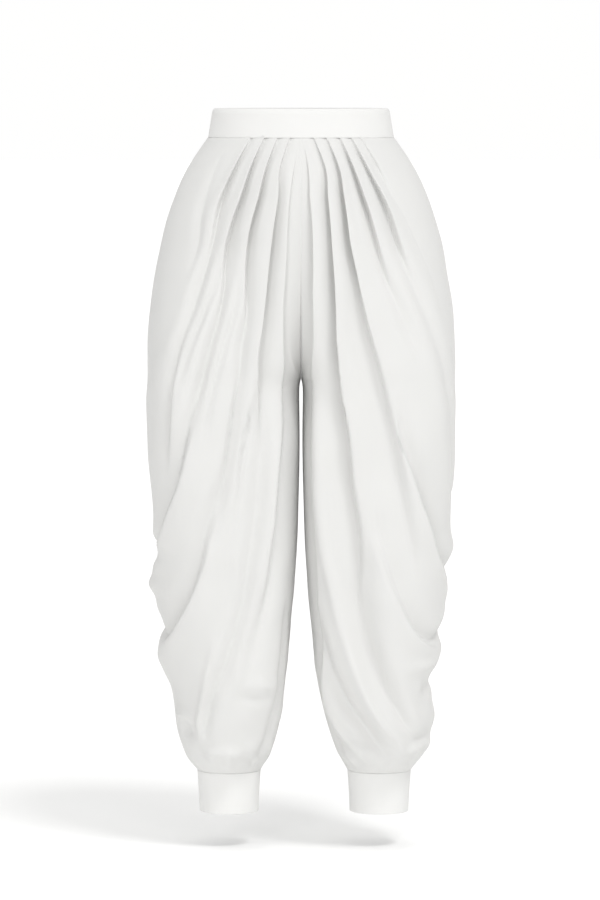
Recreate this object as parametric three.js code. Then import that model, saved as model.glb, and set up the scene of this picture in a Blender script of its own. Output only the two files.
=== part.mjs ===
// Dhoti pants: a contoured waistband, two full draped legs and two cuffs.
// Millimetres, +Z up, the wearer's front towards -Y and their left towards +X.
// The origin is the centre of the waist opening, half way up the waistband.
import * as THREE from "three";

// Driving dimensions
const clothThickness = 1.6;
const bandThickness = 2.4;
const seamGap = 0.3;
const waistband = { height: 40, topWidth: 244, topDepth: 179, bottomWidth: 256, bottomDepth: 190 };
const leg = { forkZ: -353, hemZ: -898, forkSpread: 0.62, forkRounding: 25, edgeX: 0.15 };
const footShift = { left: 4.2, right: -4.2, fromZ: -745, toZ: -875 }; // both feet stand to one side
const cuff = { height: 57.7, topRadius: 44.2, bottomRadius: 41, centreX: 104.3, centreY: 4 };
const bandFlare = 1.35; // power of the curve in which the waistband widens downwards
const cuffFlare = 1.4; // the same for the cuff, upwards
const segments = { waistband: 30, cuff: 28, section: 360, plainCrease: 36, swag: 64 };
const waistSeamZ = -waistband.height / 2 - seamGap;
const cuffTopZ = leg.hemZ - seamGap;

// The form of one leg without its folds: reach to the side, to the front and to
// the back of the centre lines, and how square the section is (2 is an ellipse).
const legForm = [
  { z: -20, out: 128, front: 95, back: 95, square: 2.0 },
  { z: -38, out: 141, front: 101, back: 103, square: 2.0 },
  { z: -66, out: 158.5, front: 110, back: 115, square: 2.0 },
  { z: -107, out: 176.5, front: 120, back: 128, square: 2.05 },
  { z: -176, out: 196.5, front: 130, back: 141, square: 2.15 },
  { z: -245, out: 208, front: 135, back: 147, square: 2.35 },
  { z: -314, out: 212.5, front: 137, back: 147, square: 2.6 },
  { z: -383, out: 213, front: 136, back: 143, square: 2.7 },
  { z: -452, out: 212, front: 133, back: 138, square: 2.6 },
  { z: -521, out: 206, front: 128, back: 132, square: 2.45 },
  { z: -631, out: 200, front: 117, back: 121, square: 2.3 },
  { z: -742, out: 189, front: 102, back: 108, square: 2.15 },
  { z: -797, out: 179, front: 92, back: 99, square: 2.05 },
  { z: -838, out: 175.5, front: 81, back: 89, square: 2.0 },
  { z: -873, out: 165.5, front: 64, back: 74, square: 2.0 },
  { z: -888, out: 157.5, front: 51, back: 60, square: 2.0 },
  { z: -898, out: 148.5, front: 40, back: 48, square: 2.0 },
];

// Below the fork: how far the inseam stands from the middle plane.
const inseam = [
  { z: -353, inner: 1.4 },
  { z: -452, inner: 1.8 },
  { z: -521, inner: 3.5 },
  { z: -582, inner: 5.6 },
  { z: -640, inner: 9.6 },
  { z: -691, inner: 14.2 },
  { z: -745, inner: 19 },
  { z: -798, inner: 26.2 },
  { z: -834, inner: 33.6 },
  { z: -871, inner: 45.6 },
  { z: -898, inner: 60 },
];

// Heights of the grid's rows down a leg: closest at the fork and over the side folds.
const rowHeights = [
  waistSeamZ, -32, -50, -75, -105, -140, -180, -225, -270, -305, -330, -345, leg.forkZ,
  -365, -385, -415, -450, -485, -515, -540, -562, -584, -606, -628, -650, -672, -694,
  -716, -740, -765, -792, -820, -845, -868, -885, leg.hemZ,
];

// Columns from the side line to the centre front or back. They fan out at the waist
// and stand evenly below toZ; the fork's extra cloth goes into the last of them.
const columns = { front: 27, straight: 0.62, fanPower: 4, fromZ: -280, toZ: -480, forkShare: 0.2 };
const forkGirth = { topZ: -300, lowZ: -420, bottomZ: -520, atFork: 24, atLow: -10 };

// Creases, a row each. The columns from seam to calf are the distance round the
// cloth from the side line at these heights; tip is where the crease ends, or the
// lowest point of a swag that runs on round the side and up the back.
const creaseLevels = { seam: -20, yoke: -80, hip: -190, fork: -330, thigh: -450, knee: -560, calf: -650 };
const creases = {
  right: [
    { seam: 174, yoke: 215, hip: 261, fork: 290, thigh: 284, knee: 255, calf: 228, tip: 172, tipZ: -770,
      sink: 7, rise: 5, wide: 17, swag: 0 },
    { seam: 157, yoke: 199, hip: 240, fork: 255, thigh: 244, knee: 216, calf: 188, tip: 100, tipZ: -818,
      sink: 10, rise: 7, wide: 19, swag: 0 },
    { seam: 139, yoke: 176, hip: 206, fork: 219, thigh: 200, knee: 160, calf: 120, tip: 15, tipZ: -703,
      sink: 12, rise: 9, wide: 23, swag: 1 },
    { seam: 120, yoke: 158, hip: 186, fork: 176, thigh: 144, knee: 90, tip: 5, tipZ: -592,
      sink: 12, rise: 9, wide: 23, swag: 1 },
    { seam: 101, yoke: 128, hip: 147, fork: 139, tip: 96, tipZ: -480,
      sink: 8, rise: 5, wide: 19, swag: 0 },
    { seam: 60, yoke: 72, hip: 84, tip: 74, tipZ: -330,
      sink: 4, rise: 3, wide: 19, swag: 0 },
  ],
  left: [
    { seam: 173, yoke: 215, hip: 264, fork: 300, thigh: 292, knee: 274, calf: 259, tip: 120, tipZ: -866,
      sink: 7, rise: 5, wide: 17, swag: 0 },
    { seam: 155, yoke: 194, hip: 238, fork: 258, thigh: 243, knee: 210, calf: 184, tip: 90, tipZ: -820,
      sink: 12, rise: 8, wide: 20, swag: 0 },
    { seam: 136, yoke: 172, hip: 210, fork: 208, thigh: 176, knee: 140, calf: 108, tip: 12, tipZ: -702,
      sink: 10, rise: 7, wide: 22, swag: 1 },
    { seam: 119, yoke: 148, hip: 170, fork: 168, thigh: 155, knee: 102, tip: 5, tipZ: -626,
      sink: 10, rise: 8, wide: 20, swag: 1 },
    { seam: 101, yoke: 124, hip: 130, fork: 98, thigh: 56, tip: 3, tipZ: -528,
      sink: 6, rise: 7, wide: 21, swag: 1 },
    { seam: 84, yoke: 97, tip: 96, tipZ: -170,
      sink: 4, rise: 3, wide: 15, swag: 0 },
  ],
};

// Single puffs and dents of the cloth low on the leg: where (round from the side
// line, negative at the front), how far out, and their size round and up.
const puffs = {
  right: [
    { round: 0, z: -636, out: 6, across: 55, tall: 20 },
    { round: 0, z: -738, out: 6, across: 55, tall: 22 },
    { round: -48, z: -838, out: -6, across: 18, tall: 12 },
    { round: -66, z: -868, out: 5, across: 26, tall: 10 },
    { round: 40, z: -840, out: 4, across: 30, tall: 16 },
  ],
  left: [
    { round: 0, z: -586, out: 6, across: 50, tall: 18 },
    { round: 0, z: -767, out: -10, across: 42, tall: 14 },
    { round: 0, z: -816, out: 6, across: 60, tall: 22 },
    { round: -8, z: -862, out: 3, across: 45, tall: 13 },
    { round: 70, z: -790, out: -5, across: 30, tall: 18 },
  ],
};

// How a crease changes with the distance down it: it starts narrow and shallow, is a
// pleat at first, and a swag's crest comes in towards its lowest point (as a share).
const creaseRun = {
  shallow: 0.3, deepAfter: 220, narrow: 0.4, wideAfter: 330,
  pleatUntil: 60, pleatFade: 420, swagFrom: 0.45, swagFull: 0.9, endFrom: 0.7,
};
// Its section in shares of its width: where the valley and crests lie, and their widths.
const creaseSection = {
  valleyShift: 0.3, valleyWidth: 0.62, outerCrest: 0.75, outerWidth: 0.7, lowerCrest: 1.6,
};

// Gathers just above the cuff seam, and the quiet strips beside the seams.
const gathers = { waves: 9, height: 2.4, start: 12, fade: 32 };
const seamTrough = { depth: 5, topFade: 130, forkFade: 60, forkGap: 2 };
const quiet = { riseEdge: 18, inseamEdge: 22, belowZ: -330, over: 30, cuff: 22, middle: 14 };

function ease(t) {
  const x = Math.min(Math.max(t, 0), 1);
  return x * x * (3 - 2 * x);
}

function bell(t) {
  return Math.exp(-t * t);
}

// Smooth curve through a table's column; each slope is the mean of its neighbours'.
function curveThrough(at, values, x) {
  const last = at.length - 1;
  const rising = at[last] > at[0];
  const clamped = rising ? Math.min(Math.max(x, at[0]), at[last]) : Math.min(Math.max(x, at[last]), at[0]);
  let i = 0;
  while (i < last - 1 && (rising ? clamped > at[i + 1] : clamped < at[i + 1])) {
    i += 1;
  }
  const step = (k) => at[k + 1] - at[k];
  const rise = (k) => (values[k + 1] - values[k]) / step(k);
  const slope = (k) => {
    if (k === 0) {
      return rise(0);
    }
    if (k === last) {
      return rise(last - 1);
    }
    return (rise(k - 1) * step(k) + rise(k) * step(k - 1)) / (step(k - 1) + step(k));
  };
  const t = (clamped - at[i]) / step(i);
  const t2 = t * t;
  const t3 = t2 * t;
  return (2 * t3 - 3 * t2 + 1) * values[i] + (t3 - 2 * t2 + t) * step(i) * slope(i)
    + (3 * t2 - 2 * t3) * values[i + 1] + (t3 - t2) * step(i) * slope(i + 1);
}

function column(table, name, x) {
  return curveThrough(table.map((row) => row.z), table.map((row) => row[name]), x);
}

// The smaller of two lengths, rounded where they meet.
function roundedMin(a, b, radius) {
  const h = Math.min(Math.max(0.5 + (b - a) / (2 * radius), 0), 1);
  return b * (1 - h) + a * h - radius * h * (1 - h);
}

// The section of the bare leg form at one height, as points by distance round.
function legSection(z, side) {
  const shift = footShift[side] * ease((footShift.fromZ - z) / (footShift.fromZ - footShift.toZ));
  const out = column(legForm, "out", z) + shift;
  const front = column(legForm, "front", z);
  const back = column(legForm, "back", z);
  const square = column(legForm, "square", z);
  const spread = roundedMin(leg.forkSpread * Math.max(z - leg.forkZ, 0), out, leg.forkRounding);
  const inner = z > leg.forkZ ? inseam[0].inner - Math.max(spread, 0) : column(inseam, "inner", z) + shift;
  const centreX = (out + Math.max(inner, -out)) / 2;
  const halfWidth = out - centreX;
  const centreY = (back - front) / 2;
  const halfDepth = (back + front) / 2;
  const open = inner < leg.edgeX;
  let end = Math.PI;
  if (open) {
    const across = Math.min(1, Math.abs((leg.edgeX - centreX) / halfWidth));
    const deep = halfDepth * (1 - across ** square) ** (1 / square);
    end = Math.atan2(deep, leg.edgeX - centreX);
  }
  const place = (angle) => {
    const c = Math.cos(angle);
    const s = Math.sin(angle);
    const r = ((Math.abs(c) / halfWidth) ** square + (Math.abs(s) / halfDepth) ** square) ** (-1 / square);
    const nx = Math.sign(c) * Math.abs(r * c / halfWidth) ** (square - 1) / halfWidth;
    const ny = Math.sign(s) * Math.abs(r * s / halfDepth) ** (square - 1) / halfDepth;
    const n = Math.hypot(nx, ny);
    return { x: centreX + r * c, y: centreY + r * s, nx: nx / n, ny: ny / n };
  };
  const count = segments.section;
  const angles = [];
  const lengths = [];
  let before = null;
  let length = 0;
  for (let i = 0; i <= count; i += 1) {
    const angle = -end + (2 * end * i) / count;
    const point = place(angle);
    length += before ? Math.hypot(point.x - before.x, point.y - before.y) : 0;
    angles.push(angle);
    lengths.push(length);
    before = point;
  }
  const frontLength = lengths[count / 2];
  const at = (round) => {
    const want = Math.min(Math.max(round + frontLength, 0), length);
    let i = 0;
    while (i < count - 1 && lengths[i + 1] < want) {
      i += 1;
    }
    const t = (want - lengths[i]) / (lengths[i + 1] - lengths[i]);
    return place(angles[i] + t * (angles[i + 1] - angles[i]));
  };
  return { front: frontLength, back: length - frontLength, at };
}

// Half the girth with the extra cloth under the fork smoothed away, so that the
// grid's columns run straight through the fork.
function smoothHalf(z, half, which, side) {
  const { topZ, lowZ, bottomZ, atFork, atLow } = forkGirth;
  if (z > topZ || z < bottomZ) {
    return half;
  }
  const a = legSection(topZ, side)[which];
  const b = legSection(bottomZ, side)[which];
  return curveThrough([topZ, leg.forkZ, lowZ, bottomZ], [a, a + atFork, b + atLow, b], z);
}

// Distance round from the side line of every column at one height, front to back.
function roundOfColumns(z, section, side) {
  const lower = ease((columns.fromZ - z) / (columns.fromZ - columns.toZ));
  const half = (length, which) => {
    const plain = smoothHalf(z, length, which, side);
    const places = [];
    for (let i = 0; i <= columns.front; i += 1) {
      const c = i / columns.front;
      const fan = columns.straight * c + (1 - columns.straight) * c ** columns.fanPower;
      const f = fan + (c - fan) * lower;
      places.push(plain * (1 - f) + (length - plain) * Math.max(0, 1 - f / columns.forkShare) ** 2);
    }
    return places;
  };
  const front = half(section.front, "front").map((m) => -m);
  const back = half(section.back, "back").reverse().slice(1);
  return front.concat(back);
}

// A crease's line on the laid-out cloth, as points (distance round, height).
function creaseLine(crease) {
  const points = [];
  for (const [name, z] of Object.entries(creaseLevels)) {
    if (crease[name] !== undefined && z > crease.tipZ + 25) {
      points.push({ round: -crease[name], z });
    }
  }
  const upTheBack = points.map((p) => ({ round: -p.round, z: p.z })).reverse();
  points.push({ round: -crease.tip, z: crease.tipZ });
  const all = crease.swag ? points.concat(upTheBack) : points;
  const along = [0];
  for (let i = 1; i < all.length; i += 1) {
    along.push(along[i - 1] + Math.sqrt(Math.hypot(all[i].round - all[i - 1].round, all[i].z - all[i - 1].z)));
  }
  const pieces = crease.swag ? segments.swag : segments.plainCrease;
  const line = [];
  for (let i = 0; i <= pieces; i += 1) {
    const t = (along[along.length - 1] * i) / pieces;
    line.push({
      round: curveThrough(along, all.map((p) => p.round), t),
      z: curveThrough(along, all.map((p) => p.z), t),
    });
  }
  return line;
}

// Nearest place on a crease line: how far off (positive on the centre or lower
// side), how far along it, and its whole length.
function nearestOn(line, round, z) {
  let best = { off: 1e9, along: 0 };
  let run = 0;
  for (let i = 0; i + 1 < line.length; i += 1) {
    const a = line[i];
    const dx = line[i + 1].round - a.round;
    const dz = line[i + 1].z - a.z;
    const length = Math.hypot(dx, dz);
    const t = Math.min(Math.max(((round - a.round) * dx + (z - a.z) * dz) / (length * length), 0), 1);
    const ex = round - a.round - t * dx;
    const ez = z - a.z - t * dz;
    const distance = Math.hypot(ex, ez);
    if (distance < Math.abs(best.off)) {
      best = { off: distance * (dx * ez - dz * ex > 0 ? -1 : 1), along: run + t * length };
    }
    run += length;
  }
  return { off: best.off, along: best.along, length: run };
}

// Height of the cloth over its bare form beside one crease. At the waist it is a
// pleat, with its crest on the outer side; down the leg it is a soft valley; and
// a swag ends with its crest under the valley.
function creaseHeight(crease, line, round, z) {
  const { off, along, length } = nearestOn(line, round, z);
  const down = crease.swag ? Math.min(along, length - along) : along;
  const part = crease.swag ? down / (length / 2) : down / length;
  const grow = creaseRun.shallow + (1 - creaseRun.shallow) * ease(down / creaseRun.deepAfter);
  const wide = crease.wide * (creaseRun.narrow + (1 - creaseRun.narrow) * ease(down / creaseRun.wideAfter));
  const pleat = 1 - ease((down - creaseRun.pleatUntil) / creaseRun.pleatFade);
  const swag = crease.swag * ease((part - creaseRun.swagFrom) / (creaseRun.swagFull - creaseRun.swagFrom));
  const end = crease.swag ? 1 : 1 - ease((part - creaseRun.endFrom) / (1 - creaseRun.endFrom));
  const { valleyShift, valleyWidth, outerCrest, outerWidth, lowerCrest } = creaseSection;
  const valley = -crease.sink * bell((off - valleyShift * pleat * wide) / (valleyWidth * wide));
  const outer = pleat * crease.rise * bell((off + outerCrest * wide) / (outerWidth * wide));
  const lower = swag * crease.rise * bell((off - lowerCrest * wide) / wide);
  return grow * end * (valley + outer + lower);
}

// All folds of one leg together, with the lines of the creases worked out once.
function foldField(side) {
  const lines = creases[side].map((crease) => ({ crease, line: creaseLine(crease) }));
  return (round, z, section) => {
    let height = 0;
    for (const { crease, line } of lines) {
      height += creaseHeight(crease, line, round, z);
      if (!crease.swag) {
        height += creaseHeight(crease, line, -round, z);
      }
    }
    for (const puff of puffs[side]) {
      height += puff.out * bell((round - puff.round) / puff.across) * bell((z - puff.z) / puff.tall);
    }
    const turn = round < 0 ? round / section.front : round / section.back;
    const nearCuff = ease((leg.hemZ + gathers.fade + gathers.start - z) / gathers.fade);
    height += gathers.height * nearCuff * Math.cos(Math.PI * gathers.waves * turn);
    const fromEdge = round < 0 ? section.front + round : section.back - round;
    const belowFork = ease((quiet.belowZ - z) / quiet.over);
    const trough = -seamTrough.depth * ease((waistSeamZ - z) / seamTrough.topFade)
      * ease((z - leg.forkZ - seamTrough.forkGap) / seamTrough.forkFade);
    height = trough + (height - trough) * ease(fromEdge / (quiet.riseEdge + quiet.inseamEdge * belowFork));
    return height * ease((z - leg.hemZ) / quiet.cuff);
  };
}

// The outer face of one leg as a grid of points: rows down, columns from the
// centre front (or inseam) round the side to the centre back.
function legFace(side) {
  const fold = foldField(side);
  return rowHeights.map((z) => {
    const section = legSection(z, side);
    return roundOfColumns(z, section, side).map((round) => {
      const p = section.at(round);
      const height = fold(round, z, section);
      const sideways = z > leg.forkZ ? ease((p.x - leg.edgeX) / quiet.middle) : 1;
      return new THREE.Vector3(p.x + height * p.nx * sideways, p.y + height * p.ny, z);
    });
  });
}

// Outward directions over the grid; the two edges of the rise never lean past the
// middle plane.
function faceNormals(face) {
  const forkRow = rowHeights.indexOf(leg.forkZ);
  const last = face[0].length - 1;
  return face.map((row, j) => row.map((point, i) => {
    const closed = j >= forkRow;
    const before = i > 0 ? row[i - 1] : closed ? row[last - 1] : row[0];
    const after = i < last ? row[i + 1] : closed ? row[1] : row[last];
    const above = face[Math.max(j - 1, 0)][i];
    const below = face[Math.min(j + 1, face.length - 1)][i];
    const normal = after.clone().sub(before).cross(above.clone().sub(below)).normalize();
    if (!closed && (i === 0 || i === last)) {
      normal.x = Math.min(normal.x, 0);
      normal.normalize();
    }
    if (j === forkRow && (i === 0 || i === last)) {
      normal.set(-1, 0, 0);
    }
    return normal;
  }));
}

// One closed body from corner points and faces, mirrored for the right side.
function closedMesh(name, points, faces, mirrored) {
  const geometry = new THREE.BufferGeometry();
  const flat = points.flatMap((p) => [mirrored ? -p.x : p.x, p.y, p.z]);
  const index = faces.flatMap(([a, b, c]) => (mirrored ? [a, c, b] : [a, b, c]));
  geometry.setAttribute("position", new THREE.Float32BufferAttribute(flat, 3));
  geometry.setIndex(index);
  geometry.computeVertexNormals();
  const mesh = new THREE.Mesh(geometry, new THREE.MeshStandardMaterial({ color: 0xf4f3ef, roughness: 0.9 }));
  mesh.name = name;
  return mesh;
}

// Two triangles for the square a, b, c, d, seen anticlockwise from outside.
function square(faces, a, b, c, d) {
  faces.push([a, b, c], [a, c, d]);
}

function legPanel(name, side) {
  const face = legFace(side);
  const normals = faceNormals(face);
  const forkRow = rowHeights.indexOf(leg.forkZ);
  const foot = face.length - 1;
  const lastColumn = face[0].length - 1;
  const points = [];
  const outerAt = [];
  const innerAt = [];
  for (const layer of [outerAt, innerAt]) {
    for (let j = 0; j <= foot; j += 1) {
      layer.push([]);
      for (let i = 0; i <= lastColumn; i += 1) {
        if (j >= forkRow && i === lastColumn) {
          layer[j].push(layer[j][0]);
          continue;
        }
        const depth = layer === innerAt ? clothThickness : 0;
        layer[j].push(points.length);
        points.push(face[j][i].clone().addScaledVector(normals[j][i], -depth));
      }
    }
  }
  const faces = [];
  for (let j = 0; j < foot; j += 1) {
    for (let i = 0; i < lastColumn; i += 1) {
      square(faces, outerAt[j][i], outerAt[j + 1][i], outerAt[j + 1][i + 1], outerAt[j][i + 1]);
      square(faces, innerAt[j][i], innerAt[j][i + 1], innerAt[j + 1][i + 1], innerAt[j + 1][i]);
    }
  }
  for (let i = 0; i < lastColumn; i += 1) {
    square(faces, outerAt[0][i], outerAt[0][i + 1], innerAt[0][i + 1], innerAt[0][i]);
    square(faces, outerAt[foot][i + 1], outerAt[foot][i], innerAt[foot][i], innerAt[foot][i + 1]);
  }
  for (let j = 0; j < forkRow; j += 1) {
    const k = lastColumn;
    square(faces, outerAt[j + 1][0], outerAt[j][0], innerAt[j][0], innerAt[j + 1][0]);
    square(faces, outerAt[j][k], outerAt[j + 1][k], innerAt[j + 1][k], innerAt[j][k]);
  }
  return closedMesh(name, points, faces, side === "right");
}

// A strip swept round an upright axis: rings of outline corners [width, depth, z],
// joined up all round or ended with flat faces.
function sweptBand(name, outline, centre, angles, closed) {
  const points = [];
  for (const angle of angles) {
    for (const [width, depth, z] of outline) {
      points.push(new THREE.Vector3(
        centre.x + width * Math.cos(angle), centre.y + depth * Math.sin(angle), z));
    }
  }
  const n = outline.length;
  const faces = [];
  const spans = closed ? angles.length : angles.length - 1;
  for (let i = 0; i < spans; i += 1) {
    const a = i * n;
    const b = ((i + 1) % angles.length) * n;
    for (let k = 0; k < n; k += 1) {
      const l = (k + 1) % n;
      square(faces, a + k, b + k, b + l, a + l);
    }
  }
  if (!closed) {
    const shape = outline.map(([width, , z]) => new THREE.Vector2(width, z));
    const end = (angles.length - 1) * n;
    for (const [a, b, c] of THREE.ShapeUtils.triangulateShape(shape, [])) {
      faces.push([a, b, c], [end + a, end + c, end + b]);
    }
  }
  return closedMesh(name, points, faces, false);
}

// The waistband's outline: outer face from the seam up, then the inner face down.
function bandOutline() {
  const half = waistband.height / 2;
  const at = (t, inset) => {
    const flare = (1 - t) ** bandFlare;
    const width = waistband.topWidth + (waistband.bottomWidth - waistband.topWidth) * flare;
    const depth = waistband.topDepth + (waistband.bottomDepth - waistband.topDepth) * flare;
    return [width / 2 - inset, depth / 2 - inset, -half + waistband.height * t];
  };
  const steps = [0, 0.33, 0.66, 1];
  const outer = steps.map((t) => at(t, 0));
  const inner = steps.map((t) => at(t, bandThickness)).reverse();
  return outer.concat(inner);
}

function waistbandHalf(name, isFront) {
  const gapAngle = seamGap / waistband.topWidth;
  const start = isFront ? -Math.PI : 0;
  const angles = [];
  for (let i = 0; i <= segments.waistband; i += 1) {
    angles.push(start + gapAngle + ((Math.PI - 2 * gapAngle) * i) / segments.waistband);
  }
  return sweptBand(name, bandOutline(), { x: 0, y: 0 }, angles, false);
}

function cuffTube(name, side) {
  const sign = side === "left" ? 1 : -1;
  const at = (t, inset) => {
    const radius = cuff.bottomRadius + (cuff.topRadius - cuff.bottomRadius) * t ** cuffFlare - inset;
    return [radius, radius, cuffTopZ - cuff.height * (1 - t)];
  };
  const steps = [0, 0.5, 1];
  const outer = steps.map((t) => at(t, 0));
  const inner = steps.map((t) => at(t, bandThickness)).reverse();
  const angles = [];
  for (let i = 0; i < segments.cuff; i += 1) {
    angles.push((2 * Math.PI * i) / segments.cuff);
  }
  const centre = { x: sign * (cuff.centreX + footShift[side]), y: cuff.centreY };
  return sweptBand(name, outer.concat(inner), centre, angles, true);
}

const garment = new THREE.Group();
garment.name = "dhoti_pants";
garment.add(waistbandHalf("waistband_front", true));
garment.add(waistbandHalf("waistband_back", false));
garment.add(legPanel("leg_left", "left"));
garment.add(legPanel("leg_right", "right"));
garment.add(cuffTube("cuff_left", "left"));
garment.add(cuffTube("cuff_right", "right"));

export default garment;
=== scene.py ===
import math
import bpy
import numpy as np
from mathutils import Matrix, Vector


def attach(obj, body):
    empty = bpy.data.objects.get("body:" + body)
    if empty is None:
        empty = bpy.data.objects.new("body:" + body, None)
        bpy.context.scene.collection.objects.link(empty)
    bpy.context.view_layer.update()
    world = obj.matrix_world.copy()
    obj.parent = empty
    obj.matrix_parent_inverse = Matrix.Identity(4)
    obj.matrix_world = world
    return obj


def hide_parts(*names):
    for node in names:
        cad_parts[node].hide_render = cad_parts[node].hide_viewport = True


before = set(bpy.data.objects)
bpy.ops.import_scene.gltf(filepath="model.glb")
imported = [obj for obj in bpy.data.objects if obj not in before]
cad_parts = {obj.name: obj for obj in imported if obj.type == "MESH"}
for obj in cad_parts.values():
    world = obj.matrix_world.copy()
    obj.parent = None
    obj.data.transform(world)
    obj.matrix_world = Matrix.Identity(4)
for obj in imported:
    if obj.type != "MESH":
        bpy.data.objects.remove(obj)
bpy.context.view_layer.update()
mm = 0.001


def ease(t):
    # 3 t^2 - 2 t^3: from 0 to 1, flat at both ends
    t = np.clip(t, 0, 1)
    return t * t * (3 - 2 * t)


def bell(t):
    # e^(-t^2): 1 in the middle, almost nothing past 2
    return np.exp(-t * t)


def unit(v):
    # v over its length
    return v / np.maximum(np.linalg.norm(v, axis=-1, keepdims=True), 1e-9)


def curveThrough(at, values, x):
    # cubic pieces through the points; each slope is the mean of its neighbours', weighted by their spacing
    at, values = np.asarray(at, float), np.asarray(values, float)
    if at[0] > at[-1]:
        at, values = at[::-1], values[::-1]
    step = np.diff(at)
    rise = np.diff(values) / step
    slope = np.empty_like(values)
    slope[1:-1] = (rise[:-1] * step[1:] + rise[1:] * step[:-1]) / (step[:-1] + step[1:])
    slope[0], slope[-1] = rise[0], rise[-1]
    x = np.clip(x, at[0], at[-1])
    i = np.clip(np.searchsorted(at, x, side="right") - 1, 0, len(at) - 2)
    t = (x - at[i]) / step[i]
    return ((2 * t**3 - 3 * t**2 + 1) * values[i] + (t**3 - 2 * t**2 + t) * step[i] * slope[i]
            + (3 * t**2 - 2 * t**3) * values[i + 1] + (t**3 - t**2) * step[i] * slope[i + 1])


def roundedMin(a, b, radius):
    # the smaller of a and b, with the corner where they cross rounded off
    h = np.clip(0.5 + (b - a) / (2 * radius), 0, 1)
    return b * (1 - h) + a * h - radius * h * (1 - h)


def blurAlong(values, spread, axis):
    # each value becomes the bell-weighted mean of those near it; the ends are carried on straight
    reach = int(math.ceil(3 * spread))
    weights = bell(np.arange(-reach, reach + 1) / (spread * math.sqrt(2)))
    weights /= weights.sum()
    moved = np.moveaxis(values, axis, 0)
    first, last = moved[:1], moved[-1:]
    before = 2 * first - moved[1:reach + 1][::-1]
    after = 2 * last - moved[-reach - 1:-1][::-1]
    padded = np.concatenate([before, moved, after])
    out = sum(w * padded[k:k + len(moved)] for k, w in enumerate(weights))
    return np.moveaxis(out, 0, axis)


def gridNoise(shape, cells, seed):
    # smooth random waves: a small grid of random heights, stretched over the big grid with cubic curves
    rng = np.random.default_rng(seed)
    out = rng.uniform(-1, 1, (cells[0] + 3, cells[1] + 3))
    for axis, (count, cell) in enumerate(zip(shape, cells)):
        t = np.linspace(1, cell + 1, count)
        i = np.clip(t.astype(int), 1, cell + 1)
        f = (t - i).reshape([-1, 1] if axis == 0 else [1, -1])
        p = [np.take(out, i + k, axis=axis) for k in (-1, 0, 1)]
        p.append(np.take(out, np.clip(i + 2, 0, out.shape[axis] - 1), axis=axis))
        out = 0.5 * (2 * p[1] + (p[2] - p[0]) * f + (2 * p[0] - 5 * p[1] + 4 * p[2] - p[3]) * f**2
                     + (3 * p[1] - p[0] - 3 * p[2] + p[3]) * f**3)
    return out


def gridQuads(a, b, c, d):
    # one quad from each place in four arrays of corner numbers
    return np.stack([a.ravel(), b.ravel(), c.ravel(), d.ravel()], 1)


def makePiece(name, points, quads, uv, material, slot):
    # a mesh of the points in mm that the quads use, which rides on the body and stands for the node
    mesh = bpy.data.meshes.new(name)
    used, quads = np.unique(quads, return_inverse=True)
    quads = quads.reshape(-1, 4)
    mesh.from_pydata((points.reshape(-1, 3)[used] * mm).tolist(), [], quads.tolist())
    mesh.polygons.foreach_set("use_smooth", np.ones(len(quads), bool))
    layer = mesh.uv_layers.new(name="cloth")
    layer.data.foreach_set("uv", (uv.reshape(-1, 2)[used][quads.ravel()] * mm).ravel())
    mesh.update()
    mesh.materials.append(material)
    piece = bpy.data.objects.new(name + "_cloth", mesh)
    bpy.context.scene.collection.objects.link(piece)
    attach(piece, "root")
    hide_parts(name)
    return piece


# The legs' bare form in mm, without folds: how far each ring reaches to the side, to the front and
# to the back. A square of 2 is an ellipse, and more is boxier.
legForm = {
    "z": [-20, -38, -66, -107, -176, -245, -314, -383, -452, -521, -631, -742, -797, -838, -873, -888, -898],
    "out": [128, 141, 158.5, 176.5, 196.5, 208, 212, 213, 212,
            206, 200, 189, 179, 175.5, 165.5, 157.5, 148.5],
    "front": [95, 101, 110, 120, 130, 135, 137, 136, 133, 128, 117, 102, 92, 81, 64, 51, 40],
    "back": [95, 103, 115, 128, 141, 147, 147, 143, 138, 132, 121, 108, 99, 89, 74, 60, 48],
    "square": [2, 2, 2, 2.05, 2.15, 2.35, 2.65, 2.8, 2.7, 2.5, 2.3, 2.15, 2.05, 2, 2, 2, 2],
    "blur": 9,
    "inseamZ": [-353, -452, -521, -582, -640, -691, -745, -798, -834, -871, -898],
    "inseam": [0.2, -0.6, 0.9, 3.0, 7.0, 11.6, 16.4, 23.6, 31.0, 43.0, 57.6],
    "leastInseam": 0.2, "pastEdge": 0.01,
    "footShift": {"left": 4.2, "right": -4.2}, "footShiftFrom": -745, "footShiftOver": 130,
    "forkZ": -353, "forkSpread": 0.62, "forkRound": 6,
    "sideRound": 25.0, "sideRoundOver": 200, "leastRound": 0.1,
    "innerSquare": 0.45, "innerSquareOver": 110, "innerSquareTo": -760, "innerSquareFade": 90,
    "edgeX": 0.15, "topZ": -20.3, "hemZ": -898,
}
clothGrid = {"rows": 204, "halfColumns": 117, "ringSteps": 1200, "wall": 1.0, "tuck": 3.0, "tuckIn": 1.3,
             "lip": 0.1, "lipIn": 0.5, "normalBlur": 0.7}


def formColumn(name, z):
    # the column's curve, blurred so that no row of the table shows in the cloth
    top, hem = legForm["z"][0], legForm["z"][-1]
    everyMm = np.linspace(top, hem, top - hem + 1)
    values = blurAlong(curveThrough(legForm["z"], legForm[name], everyMm), legForm["blur"], 0)
    return np.interp(-z, -everyMm, values)


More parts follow.
